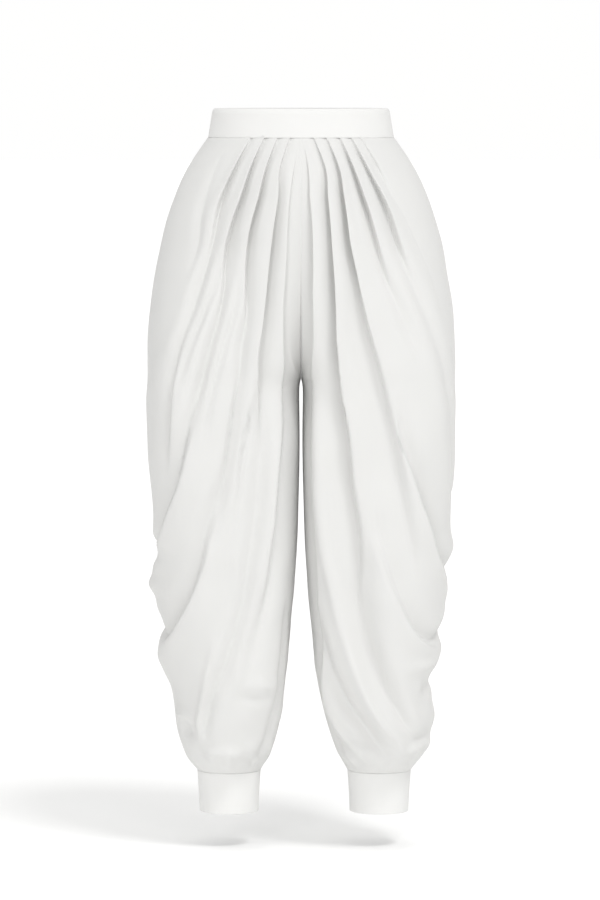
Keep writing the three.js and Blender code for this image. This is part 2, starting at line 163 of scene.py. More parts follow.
def legSections(zRows, side):
    # superellipse rings: x = cx + r cos a, y = cy + r sin a, with
    # r = (|cos a / wide|^p + |sin a / deep|^p)^(-1/p); above the fork they end at the middle plane
    form = legForm
    out, front, back, p = (formColumn(k, zRows) for k in ("out", "front", "back", "square"))
    # the inner edge turns from the inseam into the rise over a soft corner: r ln(1 + e^(h / r)) - r ln 2
    above, r = zRows - form["forkZ"], form["forkRound"]
    spread = form["forkSpread"] * (r * np.logaddexp(0, above / r) - r * math.log(2))
    sideRound = form["sideRound"] * ease(above / form["sideRoundOver"]) + form["leastRound"]
    spread = np.where(above > 0, roundedMin(spread, out, sideRound), spread)
    shift = form["footShift"][side] * ease((form["footShiftFrom"] - zRows) / form["footShiftOver"])
    out = out + shift
    inner = curveThrough(form["inseamZ"], form["inseam"], zRows) - spread + shift
    joined = np.minimum(inner, form["edgeX"] - form["pastEdge"])
    inner = np.where(above > 0, joined, np.maximum(inner, form["leastInseam"]))
    inner = np.maximum(inner, -out)
    cx, halfWidth = (out + inner) / 2, (out - inner) / 2
    cy, halfDepth = (back - front) / 2, (back + front) / 2
    across = np.minimum(1, np.abs((form["edgeX"] - cx) / halfWidth))
    edgeDepth = halfDepth * (1 - across**p) ** (1 / p)
    end = np.where(inner < form["edgeX"], np.arctan2(edgeDepth, form["edgeX"] - cx), math.pi)
    # from the fork down to the shin the inner side is boxier than the outer
    fade = 1 - ease((form["innerSquareTo"] - zRows) / form["innerSquareFade"])
    innerSquare = 1 + form["innerSquare"] * ease(-above / form["innerSquareOver"]) * fade
    return {"cx": cx, "cy": cy, "wide": halfWidth, "deep": halfDepth, "p": p, "end": end,
            "innerSquare": innerSquare}


def ringPoints(sections, angle):
    # the rings' points, and their outward normals from the slope of |x / wide|^p + |y / deep|^p
    cx, cy, wide, deep, p = (sections[k][:, None] for k in ("cx", "cy", "wide", "deep", "p"))
    cosine, sine = np.cos(angle), np.sin(angle)
    p = np.where(cosine < 0, p * sections["innerSquare"][:, None], p)
    r = ((np.abs(cosine) / wide) ** p + (np.abs(sine) / deep) ** p) ** (-1 / p)
    nx = np.sign(cosine) * (np.abs(r * cosine) / wide) ** (p - 1) / wide
    ny = np.sign(sine) * (np.abs(r * sine) / deep) ** (p - 1) / deep
    size = np.hypot(nx, ny)
    return cx + r * cosine, cy + r * sine, nx / size, ny / size


# Each fold is a line on the cloth. Columns: round (mm from the side line, to the front), z, deep (the
# valley), lift (the crest), wide, lean (-1: a pleat folded to the centre, 0: a soft trough, 1: a drape
# whose crest is under the valley), edge (mm over which the cloth steps from one to the other). A ridge
# has less than 0 deep. A line that ends at the front is repeated at the back.
foldLines = {
    "right": {
        "centrePleat": [
            (179, -22, 2.5, 0.5, 6, -1, 1.4), (213, -83, 3, 2.5, 9, -1, 1.6),
            (242, -144, 4, 3, 12, -1, 2.2), (261, -198, 6, 4, 16, -1, 3), (273, -250, 7, 5, 20, -1, 4),
            (287, -310, 7, 5, 22, -1, 5), (294, -345, 5, 4, 22, -1, 5), (292, -392, 3, 3.5, 20, -1, 5),
            (284, -437, 3, 3.5, 20, -1, 5), (272, -481, 4.5, 3.5, 20, -1, 5),
            (259, -528, 4.5, 4, 20, -1, 5), (247, -574, 5, 4, 20, -0.9, 6),
            (236, -615, 6, 4, 20, -0.7, 8), (224, -650, 7, 4, 18, -0.4, 10),
            (210, -684, 6, 3, 18, -0.2, 10), (195, -719, 4, 2, 18, 0, 10), (160, -788, 0, 0, 16, 0, 10)],
        "secondPleat": [
            (162, -22, 2.5, 0.5, 6, -1, 1.4), (183, -63, 3, 2, 5, -1, 1.4), (207, -103, 7, 4, 7, -1, 1.6),
            (225, -157, 13, 6, 11, -1, 2), (242, -224, 13, 6, 13, -1, 2.6),
            (249, -278, 13, 7, 15, -1, 3.5), (250, -310, 13, 7, 18, -1, 4.5),
            (254, -345, 13, 7, 20, -0.9, 6), (258, -375, 12, 7, 22, -0.6, 8),
            (256, -415, 11, 6, 24, -0.3, 9), (249, -470, 10, 6, 22, 0, 9), (233, -531, 9, 6, 20, 0, 8),
            (216, -586, 8, 6, 17, 0, 8), (198, -648, 7, 6, 15, 0.1, 8), (173, -704, 7, 6, 15, 0.2, 7),
            (150, -746, 7, 6, 14, 0.2, 7), (128, -774, 6, 5, 14, 0.2, 7), (112, -798, 6, 4, 12, 0.2, 7),
            (98, -824, 4, 3, 11, 0.2, 7), (86, -848, 0, 0, 10, 0.2, 7)],
        "footRidge": [
            (150, -700, 0, 0, 10, 0, 8), (131, -740, -4, 0, 10, 0, 8), (113, -776, -6, 0, 10, 0, 8),
            (96, -804, -6, 0, 9, 0, 8), (82, -836, -5, 0, 9, 0, 8), (74, -856, 0, 0, 9, 0, 8)],
        "thinCrease": [
            (254, -352, 0, 0, 6, -0.8, 3), (243, -391, 3, 2, 7, -0.8, 3), (237, -412, 4, 2.5, 8, -0.8, 3),
            (227, -445, 4, 2.5, 8, -0.7, 3), (217, -480, 4, 2.5, 8, -0.6, 3.5),
            (207, -510, 3, 2, 8, -0.5, 4), (197, -537, 2, 1.5, 8, -0.4, 5), (187, -560, 0, 0, 8, 0, 5)],
        "minorCrease": [
            (202, -200, 0, 0, 8, 0, 6), (206, -232, 3.5, 2.5, 9, 0, 6), (208, -262, 4.5, 3, 9, 0, 6),
            (205, -292, 4, 2.5, 9, 0, 6), (201, -323, 4, 2.5, 9, 0, 6), (186, -391, 4, 2.5, 9, 0, 6),
            (176, -430, 0, 0, 9, 0, 6)],
        "lowDrape": [
            (145, -22, 2.5, 0.5, 6, -1, 1.4), (163, -63, 6, 3, 5, -1, 1.4),
            (179, -103, 11, 5, 7, -1, 1.6), (193, -157, 12, 6, 9, -1, 2), (215, -224, 10, 6, 13, -0.7, 5),
            (226, -265, 9, 6, 15, -0.3, 8), (227, -299, 9, 6, 15, -0.1, 9),
            (227, -344, 10, 6, 15, -0.3, 8), (221, -377, 9, 6, 15, -0.6, 8),
            (208, -437, 8.5, 6, 16, -0.7, 9), (198, -469, 8.5, 6, 16, -0.6, 9),
            (186, -503, 9, 6, 16, -0.1, 9), (172, -538, 8, 7, 17, 0.5, 8), (159, -568, 7, 8, 20, 0.8, 9),
            (151, -593, 7, 9, 22, 1, 9), (121, -649, 8, 11, 24, 1, 8), (99, -677, 9, 11, 21, 1, 8),
            (70, -702, 11, 11, 18, 0.9, 8), (35, -708, 10, 10, 20, 0.5, 10), (0, -698, 9, 9, 22, 0.2, 14),
            (-60, -690, 9, 8, 24, 0.2, 14), (-115, -640, 9, 7, 22, 0.5, 10),
            (-160, -560, 9, 7, 20, 0.8, 9), (-200, -440, 8, 6, 19, 0.6, 10),
            (-212, -330, 8, 5, 18, 0, 12), (-206, -190, 8, 5, 15, -0.8, 4),
            (-176, -80, 4, 3, 10, -1, 1.6), (-140, -22, 2.5, 0.5, 7, -1, 1.4)],
        "highDrape": [
            (126, -22, 3, 0.5, 6, -1, 1.4), (141, -63, 7, 4, 5, -1, 1.4), (154, -103, 11, 6, 7, -1, 1.8),
            (165, -158, 10, 7, 11, -1, 3), (174, -191, 9, 6, 13, -0.8, 5), (184, -225, 8, 6, 14, -0.5, 7),
            (187, -265, 8, 6, 13, -0.3, 8), (185, -288, 8, 6, 13, -0.2, 8), (178, -347, 9, 6, 13, 0, 8),
            (171, -377, 9, 7, 14, 0.2, 7), (163, -405, 8, 8, 15, 0.4, 7), (153, -438, 7, 9, 18, 0.8, 7),
            (136, -481, 5, 11, 28, 1, 8), (106, -530, 5, 12, 30, 1, 8), (79, -565, 7, 12, 26, 1, 8),
            (45, -588, 9, 11, 22, 0.7, 8), (0, -594, 9, 9, 22, 0.3, 12), (-55, -583, 9, 8, 24, 0.5, 12),
            (-100, -535, 9, 7, 21, 0.8, 9), (-145, -440, 8, 7, 20, 0.8, 10),
            (-172, -330, 8, 6, 18, 0.2, 12), (-182, -190, 8, 5, 16, -0.7, 5),
            (-158, -85, 5, 4, 11, -1, 1.8), (-121, -22, 2.5, 0.5, 7, -1, 1.4)],
        "sidePleat": [
            (106, -22, 2.5, 0.5, 6, -1, 1.4), (117, -63, 6, 4, 5, -1, 1.4), (125, -104, 9, 6, 9, -0.9, 3),
            (142, -158, 6, 5, 14, -0.6, 6), (147, -191, 6, 5, 15, -0.3, 8), (149, -225, 5, 5, 15, 0, 9),
            (148, -266, 5, 5, 15, 0.2, 9), (143, -300, 6, 6, 15, 0.5, 8), (141, -327, 6, 7, 16, 0.8, 8),
            (138, -357, 6, 8, 18, 1, 8), (134, -391, 6, 8, 20, 1, 8), (128, -425, 5, 6, 20, 1, 8),
            (119, -455, 2, 3, 20, 1, 8), (110, -480, 0, 0, 20, 1, 8)],
        "midCrease": [
            (167, -165, 0, 0, 8, 0, 6), (171, -225, 4, 2.5, 9, 0, 6), (166, -265, 5, 3, 9, 0, 6),
            (159, -299, 3, 2, 9, 0, 6), (152, -333, 2, 1, 9, 0, 6), (146, -360, 0, 0, 9, 0, 6)],
        "outerPleat": [
            (76, -36, 0, 0, 9, -0.5, 4), (88, -75, 2, 1.5, 12, -0.3, 6), (104, -120, 2.5, 1.5, 13, 0, 8),
            (122, -160, 3, 1.5, 12, 0, 8), (127, -195, 1.5, 1, 12, 0, 8), (124, -230, 0, 0, 12, 0, 8),
            (90, -380, 0, 0, 12, 0, 8)],
        "innerFold": [
            (267, -650, 0, 0, 10, 0, 8), (264, -681, 3, 2, 12, 0, 8), (254, -716, 4, 3, 13, 0, 8),
            (242, -752, 5, 3, 13, 0, 8), (225, -794, 7, 4, 13, 0, 8), (205, -822, 7, 4, 13, 0, 8),
            (191, -843, 7, 4, 12, 0, 8), (170, -861, 5, 4, 11, 0, 8), (141, -878, 2, 2, 10, 0, 8),
            (116, -891, 0, 0, 10, 0, 8)],
    },
    "left": {
        "centrePleat": [
            (177, -22, 2.5, 0.5, 6, -1, 1.4), (202, -63, 4, 3, 5, -1, 1.4), (226, -103, 6, 5, 7, -1, 1.8),
            (249, -157, 8, 6, 10, -1, 2.4), (273, -225, 11, 7, 16, -1, 4),
            (291, -293, 13, 8, 20, -0.9, 7), (306, -350, 14, 8, 22, -0.9, 9),
            (308, -377, 13, 8, 22, -0.9, 9), (300, -431, 12, 8, 22, -0.9, 10),
            (290, -486, 11, 8, 22, -0.9, 10), (278, -541, 10, 7, 22, -0.9, 10),
            (268, -596, 9, 7, 22, -0.9, 10), (258, -653, 9, 6, 20, -0.9, 9),
            (246, -708, 9, 6, 18, -0.9, 8), (233, -751, 9, 7, 16, -0.9, 7),
            (222, -779, 9, 7, 15, -0.9, 7), (209, -808, 9, 7, 15, -0.9, 7),
            (194, -833, 8, 7, 14, -0.9, 7), (177, -853, 6, 5, 12, -0.8, 7), (150, -873, 0, 0, 10, -0.8, 7)],
        "lowValley": [
            (256, -655, 0, 0, 12, 0, 8), (242, -700, 6, 4, 17, 0, 8), (218, -749, 9, 7, 18, 0, 8),
            (202, -769, 10, 9, 17, 0, 8), (182, -793, 11, 10, 16, 0, 8), (160, -815, 11, 10, 16, 0, 8),
            (143, -831, 10, 10, 15, 0, 8), (125, -848, 8, 8, 14, 0, 8), (94, -871, 5, 4, 12, 0, 7),
            (76, -882, 0, 0, 10, 0, 7)],
        "footRidge": [
            (216, -784, 0, 0, 10, 0, 8), (200, -808, -3, 0, 10, 0, 8), (181, -831, -7, 0, 10, 0, 8),
            (166, -845, -7, 0, 10, 0, 8), (131, -866, -6, 0, 10, 0, 8), (104, -886, -3, 0, 9, 0, 8),
            (92, -893, 0, 0, 8, 0, 8)],
        "crestRidge": [
            (298, -330, 0, 0, 14, 0, 8), (292, -400, -4, 0, 14, 0, 8), (279, -471, -6, 0, 14, 0, 8),
            (270, -512, -7, 0, 14, 0, 8), (248, -595, -7, 0, 14, 0, 8), (232, -636, -7, 0, 14, 0, 8),
            (215, -677, -7, 0, 14, 0, 8), (191, -725, -7, 0, 14, 0, 8), (170, -760, -8, 0, 13, 0, 8),
            (143, -799, -9, 0, 12, 0, 8), (119, -831, -8, 0, 12, 0, 8), (86, -858, -5, 0, 12, 0, 8),
            (64, -874, 0, 0, 12, 0, 8)],
        "secondPleat": [
            (160, -22, 2.5, 0.5, 6, -1, 1.4), (178, -63, 4.5, 3, 5, -1, 1.4),
            (201, -103, 10, 5, 7, -1, 1.6), (223, -157, 12, 7, 9, -1, 2), (242, -224, 16, 8, 13, -1, 3),
            (255, -292, 19, 9, 18, -1, 4), (257, -340, 19, 9, 20, -1, 5), (255, -374, 17, 9, 22, -1, 7),
            (244, -428, 14, 9, 25, -1, 10), (232, -483, 14, 9, 26, -0.9, 11),
            (213, -538, 14, 9, 27, -0.8, 12), (202, -593, 14, 9, 27, -0.5, 12),
            (199, -632, 14, 9, 27, -0.3, 12), (187, -676, 14, 10, 26, -0.1, 12),
            (169, -718, 13, 10, 23, 0, 12), (143, -758, 12, 10, 20, 0.1, 11),
            (114, -794, 10, 10, 17, 0.2, 10), (91, -822, 7, 8, 15, 0.2, 9), (63, -849, 0, 0, 12, 0.2, 8)],
        "thirdPleat": [
            (142, -22, 2.5, 0.5, 6, -1, 1.4), (159, -63, 6.5, 4, 5, -1, 1.4),
            (179, -103, 11, 6, 6, -1, 1.6), (199, -157, 13, 8, 8, -1, 2), (210, -224, 11, 7, 14, -1, 4),
            (212, -270, 10, 7, 24, -1, 7), (207, -320, 10, 6, 30, -1, 11), (197, -373, 10, 6, 32, -1, 14),
            (181, -428, 9, 5, 32, -1, 15), (163, -483, 7, 4, 28, -1, 16), (143, -538, 5, 3, 24, -1, 16),
            (126, -587, 3, 2, 22, -1, 16), (112, -625, 0, 0, 20, -1, 16)],
        "highPleat": [
            (123, -22, 2.5, 0.5, 6, -1, 1.4), (138, -63, 8, 4, 5, -1, 1.4), (150, -103, 11, 6, 7, -1, 2),
            (162, -158, 9, 7, 13, -0.9, 4), (167, -200, 7, 6, 15, -0.5, 8),
            (165, -235, 5, 5, 16, -0.2, 10), (156, -286, 3, 3, 17, 0, 12), (141, -333, 0, 0, 17, 0, 12)],
        "highDrape": [
            (181, -365, 0, 0, 12, 0.6, 9), (179, -395, 3, 3, 13, 0.8, 8), (173, -428, 6, 6, 15, 1, 7),
            (146, -483, 9, 9, 18, 1, 6), (113, -547, 11, 11, 20, 1, 6), (80, -597, 12, 11, 18, 1, 6),
            (42, -622, 11, 10, 19, 0.8, 7), (0, -626, 8, 7, 20, 0.4, 12), (-55, -612, 8, 7, 22, 0.5, 12),
            (-100, -560, 8, 7, 20, 0.8, 9), (-145, -470, 8, 6, 19, 0.8, 10),
            (-165, -350, 4, 3, 18, 0.2, 12), (-172, -270, 0, 0, 16, 0, 12)],
        "lowDrape": [
            (200, -500, 0, 0, 16, 0.5, 12), (190, -548, 2, 4, 18, 0.8, 12), (171, -593, 3, 7, 20, 1, 12),
            (142, -648, 4, 8, 24, 1, 13), (104, -697, 8, 9, 20, 1, 10), (75, -712, 8, 9, 18, 0.9, 10),
            (40, -712, 8, 8, 19, 0.6, 10), (0, -702, 9, 8, 20, 0.3, 12), (-60, -690, 8, 8, 22, 0.4, 12),
            (-105, -640, 8, 7, 20, 0.8, 9), (-150, -540, 8, 6, 20, 0.6, 10),
            (-190, -420, 5, 4, 20, 0.2, 12), (-204, -350, 0, 0, 19, 0, 12)],
        "sidePleat": [
            (106, -22, 2.5, 0.5, 6, -1, 1.4), (117, -63, 6, 4, 5, -1, 1.4),
            (122, -104, 10, 6, 8, -1, 2.5), (130, -158, 8, 6, 14, -0.9, 5),
            (131, -192, 5, 5, 16, -0.6, 9), (127, -239, 3, 3, 18, 0, 12), (110, -300, 2, 3, 20, 0, 14),
            (84, -400, 3, 5, 22, 0.3, 14), (54, -476, 5, 7, 23, 0.4, 14), (20, -522, 5, 7, 24, 0.3, 14),
            (-20, -528, 4, 7, 26, 0.3, 14), (-60, -490, 4, 5, 24, 0.3, 14), (-95, -400, 4, 4, 22, 0, 14),
            (-118, -270, 5, 4, 20, 0, 12), (-130, -150, 5, 4, 16, -0.8, 5),
            (-124, -76, 4, 3, 11, -1, 1.8), (-102, -22, 2.5, 0.5, 7, -1, 1.4)],
        "outerPleat": [
            (92, -24, 1.5, 0.5, 6, -1, 1.6), (98, -57, 3, 2, 9, -0.8, 3), (103, -85, 1.5, 1, 10, -0.6, 4),
            (104, -110, 0, 0, 10, 0, 5), (90, -240, 0, 0, 10, 0, 5)],
    },
}

# Single puffs and dents on the legs: round (to the front is negative), z, out, across, tall, in mm.
puffs = {
    "right": [
        (0, -590, -8, 85, 14), (0, -639, 11, 60, 14), (0, -684, -4, 70, 13), (0, -743, 9, 55, 17),
        (0, -764, 3, 50, 12), (-50, -836, -9, 17, 12), (-50, -816, 6, 24, 8), (-84, -872, 7, 24, 10),
        (-66, -870, -5, 10, 10), (-128, -878, -2, 10, 12), (-145, -866, 2.5, 12, 14),
        (-184, -787, -4, 26, 8), (-192, -771, 3, 26, 11), (44, -842, 5, 30, 16), (90, -800, -4, 30, 18),
        (-112, -868, 5, 24, 11)],
    "left": [
        (0, -585, 7, 50, 17), (0, -712, -3, 50, 9), (0, -767, -10, 42, 13), (-50, -780, -7, 14, 12),
        (-70, -745, 6, 30, 9), (0, -822, 5.5, 62, 20), (-8, -862, 5, 45, 12), (-48, -849, -5, 24, 7),
        (-52, -866, 4, 13, 8), (-80, -872, 6, 22, 9), (-118, -884, -4, 9, 10), (70, -790, -5, 30, 18),
        (60, -850, 5, 30, 14), (-140, -866, 6, 45, 14)],
}

pathSteps = 5  # stretches of a fold's line from one row of its table to the next
foldShape = {  # shares of a fold's own width and depth
    "crestWide": 1.25, "softWide": 0.55, "softLift": 0.5, "softLiftAt": 1.15, "softLiftWide": 0.8,
    "under": 0.22, "underWide": 0.6,
}


def foldPath(rows):
    # a curve through the fold's rows, run by the square root of the distance between them
    table = np.array(rows, float)
    table[:, 0] *= -1  # the front is on the negative side of the side line
    step = np.hypot(*np.diff(table[:, :2], axis=0).T)
    at = np.concatenate([[0], np.cumsum(np.sqrt(step))])
    t = np.linspace(0, at[-1], pathSteps * (len(rows) - 1) + 1)
    line = np.stack([curveThrough(at, table[:, k], t) for k in (0, 1)], 1)
    columns = np.stack([np.interp(t, at, table[:, k]) for k in range(2, table.shape[1])], 1)
    return line, columns


def foldHeight(turn, z, rows):
    # Each point takes the nearest stretch of the fold's line, with its signed distance off it. A pleat
    # or drape is a bell-shaped crest that steps into a bell-shaped valley; a soft fold is a valley
    # between two low crests. A pleat also slides the cloth under its own edge.
    line, columns = foldPath(rows)
    nearest = np.full(turn.shape, np.inf)
    off, normalX, normalZ = np.zeros_like(turn), np.zeros_like(turn), np.zeros_like(turn)
    mixed = np.zeros(turn.shape + (columns.shape[1],))
    for k in range(len(line) - 1):
        (ax, az), (bx, bz) = line[k], line[k + 1]
        dx, dz = bx - ax, bz - az
        length = math.hypot(dx, dz)
        t = np.clip(((turn - ax) * dx + (z - az) * dz) / length**2, 0, 1)
        ex, ez = turn - ax - t * dx, z - az - t * dz
        distance = np.hypot(ex, ez)
        near = distance < nearest
        nearest = np.where(near, distance, nearest)
        off = np.where(near, -np.sign(dx * ez - dz * ex) * distance, off)
        normalX, normalZ = np.where(near, dz / length, normalX), np.where(near, -dx / length, normalZ)
        mixed[near] = columns[k] + (columns[k + 1] - columns[k]) * t[near][:, None]
    deep, lift, wide, lean, edge = np.moveaxis(mixed, -1, 0)
    form = foldShape

    def stepped(x):  # crest where x < 0, valley where x > 0
        s = ease(x / edge + 0.5)
        return -s * deep * bell(x / wide) + (1 - s) * lift * bell(x / (form["crestWide"] * wide))

    crests = bell((np.abs(off) - form["softLiftAt"] * wide) / (form["softLiftWide"] * wide))
    soft = -deep * bell(off / (form["softWide"] * wide)) + form["softLift"] * lift * crests
    pleat, drape = np.clip(-lean, 0, 1), np.clip(lean, 0, 1)
    height = pleat * stepped(off) + (1 - pleat - drape) * soft + drape * stepped(-off)
    under = form["under"] * (deep + lift) * pleat * bell(off / (form["underWide"] * wide))
    slide = -np.tanh(2 * off / edge) * under
    return height, slide * normalX, slide * normalZ


# The grid's columns follow these folds down from the waist, so that each pleat has enough of them.
guideFolds = {
    "right": ["centrePleat", "secondPleat", "lowDrape", "highDrape", "sidePleat", "outerPleat"],
    "left": ["centrePleat", "secondPleat", "thirdPleat", "highPleat", "sidePleat", "outerPleat"],
}
columnPlan = {  # mm down from the waistband's middle; gather draws the columns in to the folds
    "guideColumns": [9, 31, 51, 71, 89, 103], "followTo": 230, "followFade": 200,
    "clearEdge": 0.6, "drawIn": 0.1,
    "gather": 0.86, "gatherTo": 170, "gatherFade": 160, "edgeShare": 0.2,
    "forkFrom": 300, "forkAt": 353, "forkWider": 24, "forkPast": 420, "forkNarrower": 10, "forkTo": 520,
}
rowPlan = {  # density: how close the rows stand at each mm under the waistband's middle
    "under": [20.3, 28, 60, 150, 300, 353, 400, 520, 580, 740, 800, 860, 898],
    "density": [2.6, 2.0, 1.3, 0.9, 0.9, 1.6, 0.8, 0.9, 1.15, 1.15, 1.0, 1.3, 1.9],
    "steps": 6000, "snap": 12,
}


def guideRounds(side, zRows):
    # where each guiding fold crosses each row, from the side line, on its way down to its lowest point
    guides = []
    for name in guideFolds[side]:
        line, _ = foldPath(foldLines[side][name])
        front = line[: int(np.argmin(line[:, 1])) + 1]
        front = front[np.maximum.accumulate(-front[:, 1]) <= -front[:, 1]]
        guides.append(np.interp(-zRows, -front[:, 1], -front[:, 0]))
    return np.array(guides)


def evenedAtFork(zRows, half):
    # the girth widens fast at the fork; a plain curve takes its place there, to space the columns
    plan = columnPlan
    low, high = plan["forkFrom"], plan["forkTo"]
    near = (zRows < -low) & (zRows > -high)
    a, b = np.interp(low, -zRows, half), np.interp(high, -zRows, half)
    at = [-low, -plan["forkAt"], -plan["forkPast"], -high]
    evened = half.copy()
    evened[near] = curveThrough(at, [a, a + plan["forkWider"], b - plan["forkNarrower"], b], zRows[near])
    return evened


def legColumns(side, zRows, half):
    # distance of each column from the side line; half is the front's girth from there to the edge.
    # The guiding folds hold their own columns, and the rest lie between, drawn in by a sine.
    plan = columnPlan
    n = clothGrid["halfColumns"]
    shares = np.array([0, *plan["guideColumns"], n]) / n
    evened = evenedAtFork(zRows, half)
    follow = (1 - ease((-zRows - plan["followTo"]) / plan["followFade"]))[:, None]
    even = evened[:, None] * (1 - shares[1:-1])
    most = evened[:, None] * (1 - plan["drawIn"] * shares[1:-1]) - plan["clearEdge"]
    places = np.minimum(guideRounds(side, zRows).T, most)
    places = places * follow + even * (1 - follow)
    knots = np.concatenate([evened[:, None], places, np.zeros((len(zRows), 1))], 1)
    t = np.clip(np.interp(np.linspace(0, 1, n + 1), shares, np.arange(len(shares))), 0, len(shares) - 1)
    whole = np.minimum(t.astype(int), len(shares) - 2)
    gather = plan["gather"] * (1 - ease((-zRows - plan["gatherTo"]) / plan["gatherFade"]))
    part = t - whole
    part = part - gather[:, None] * np.sin(2 * math.pi * part) / (2 * math.pi)
    columns = knots[:, whole] + (knots[:, whole + 1] - knots[:, whole]) * part
    fromEdge = 1 - columns / evened[:, None]
    return columns + (half - evened)[:, None] * np.maximum(0, 1 - fromEdge / plan["edgeShare"]) ** 2


def rowHeights():
    # rows stand closer where the pleats leave the seam, at the fork, on the drapes and at the cuff,
    # and one of them lies on the fork
    fine = np.linspace(rowPlan["under"][0], rowPlan["under"][-1], rowPlan["steps"])
    density = np.interp(fine, rowPlan["under"], rowPlan["density"])
    run = np.concatenate([[0], np.cumsum(density[:-1] * np.diff(fine))])
    z = -np.interp(np.linspace(0, run[-1], clothGrid["rows"]), run, fine)
    forkRow = int(np.argmin(np.abs(z - legForm["forkZ"])))
    z += (legForm["forkZ"] - z[forkRow]) * bell((z - z[forkRow]) / rowPlan["snap"])
    return z, forkRow


def bareGrid(side):
    # rows down the leg and columns round it, placed on the rings by their length from the side line
    z, forkRow = rowHeights()
    sections = legSections(z, side)
    steps = clothGrid["ringSteps"]
    angle = np.linspace(-1, 1, 2 * steps + 1)[None, :] * sections["end"][:, None]
    x, y, _, _ = ringPoints(sections, angle)
    length = np.cumsum(np.hypot(np.diff(x, axis=1), np.diff(y, axis=1)), 1)
    run = np.concatenate([np.zeros((len(z), 1)), length], 1)
    frontHalf, backHalf = run[:, steps], run[:, -1] - run[:, steps]
    front = legColumns(side, z, frontHalf)
    ratio = (backHalf / frontHalf)[:, None]
    turn = np.concatenate([-front, (front * ratio)[:, -2::-1]], 1)
    angles = np.stack([np.interp(turn[j] + frontHalf[j], run[j], angle[j]) for j in range(len(z))])
    x, y, nx, ny = ringPoints(sections, angles)
    half = np.where(turn < 0, frontHalf[:, None], backHalf[:, None])
    z = np.repeat(z[:, None], turn.shape[1], 1)
    return {"x": x, "y": y, "z": z, "nx": nx, "ny": ny, "turn": turn, "half": half, "ratio": ratio,
            "forkRow": forkRow}


def foldRelief(side, grid):
    # the heights and slides of every fold and puff, added up; the back is measured at the front's scale
    turn, z = grid["turn"], grid["z"]
    evenTurn = np.where(turn > 0, turn / grid["ratio"], turn)
    height, slideX, slideZ = np.zeros_like(turn), np.zeros_like(turn), np.zeros_like(turn)
    for rows in foldLines[side].values():
        endsBehind = rows[-1][0] < 0
        folds = [rows] if endsBehind else [rows, [(-row[0], *row[1:]) for row in rows[::-1]]]
        for fold in folds:
            foldUp, foldX, foldZ = foldHeight(evenTurn, z, fold)
            height += foldUp
            slideX += foldX
            slideZ += foldZ
    for place, level, out, across, tall in puffs[side]:
        height += out * bell((turn - place) / across) * bell((z - level) / tall)
    return height, slideX, slideZ


gathers = {"waves": 11, "height": 2.2, "fade": 34, "start": 10, "uneven": (0.8, 0.6), "unevenPhase": 2.2,
           "wobbleCells": 14, "wobbleShift": 30}
unevenness = {"height": 1.1, "cells": (26, 18), "from": -60, "over": 120}
legSeed = {"left": 5, "right": 11}
centreSeam = {"deep": 8, "over": 150, "lowDeep": 12, "lowFrom": -200, "endFrom": -330, "endOver": 160,
              "wide": 20}
seams = {"hemFade": 20, "innerFade": 14, "slideFade": 14, "topFree": 3, "topFade": 20}


def cuffGathers(side, share, z):
    # cosine waves round the leg just over the cuff, of uneven height and width
    wobble = gridNoise((2, share.shape[1]), (1, gathers["wobbleCells"]), legSeed[side])[0]
    least, more = gathers["uneven"]
    uneven = least + more * np.roll(wobble, gathers["wobbleShift"])
    wave = np.cos(math.pi * gathers["waves"] * share + gathers["unevenPhase"] * wobble) * uneven
    nearCuff = ease((legForm["hemZ"] + gathers["fade"] + gathers["start"] - z) / gathers["fade"])
    return gathers["height"] * nearCuff * wave


def seamRelief(height, z, fromEdge):
    # the centre seam lies in its own shallow trough, and the cloth lies flat where it joins the cuff
    seam = centreSeam
    trough = -seam["deep"] * ease((legForm["topZ"] - z) / seam["over"])
    trough = trough - seam["lowDeep"] * ease((seam["lowFrom"] - z) / seam["over"])
    trough = trough * (1 - ease((seam["endFrom"] - z) / seam["endOver"]))
    height = trough + (height - trough) * ease(fromEdge / seam["wide"])
    return height * ease((z - legForm["hemZ"]) / seams["hemFade"])


def gridNormals(outer, forkRow):
    # the cross product of the grid's two directions. Below the fork the columns close round the leg;
    # above it the edges don't turn across the middle plane.
    alongRow, downColumn = np.gradient(outer, axis=1), np.gradient(outer, axis=0)
    alongRow[forkRow:, 0] = alongRow[forkRow:, -1] = (outer[forkRow:, 1] - outer[forkRow:, -2]) / 2
    normal = blurAlong(unit(np.cross(downColumn, alongRow)), clothGrid["normalBlur"], 1)
    for edge in (0, -1):
        normal[:forkRow + 1, edge, 0] = np.minimum(normal[:forkRow + 1, edge, 0], 0)
    normal[forkRow:, 0] = normal[forkRow:, -1] = (normal[forkRow:, 0] + normal[forkRow:, -1]) / 2
    normal[forkRow, 0] = normal[forkRow, -1] = (-1, 0, 0)
    return unit(normal)


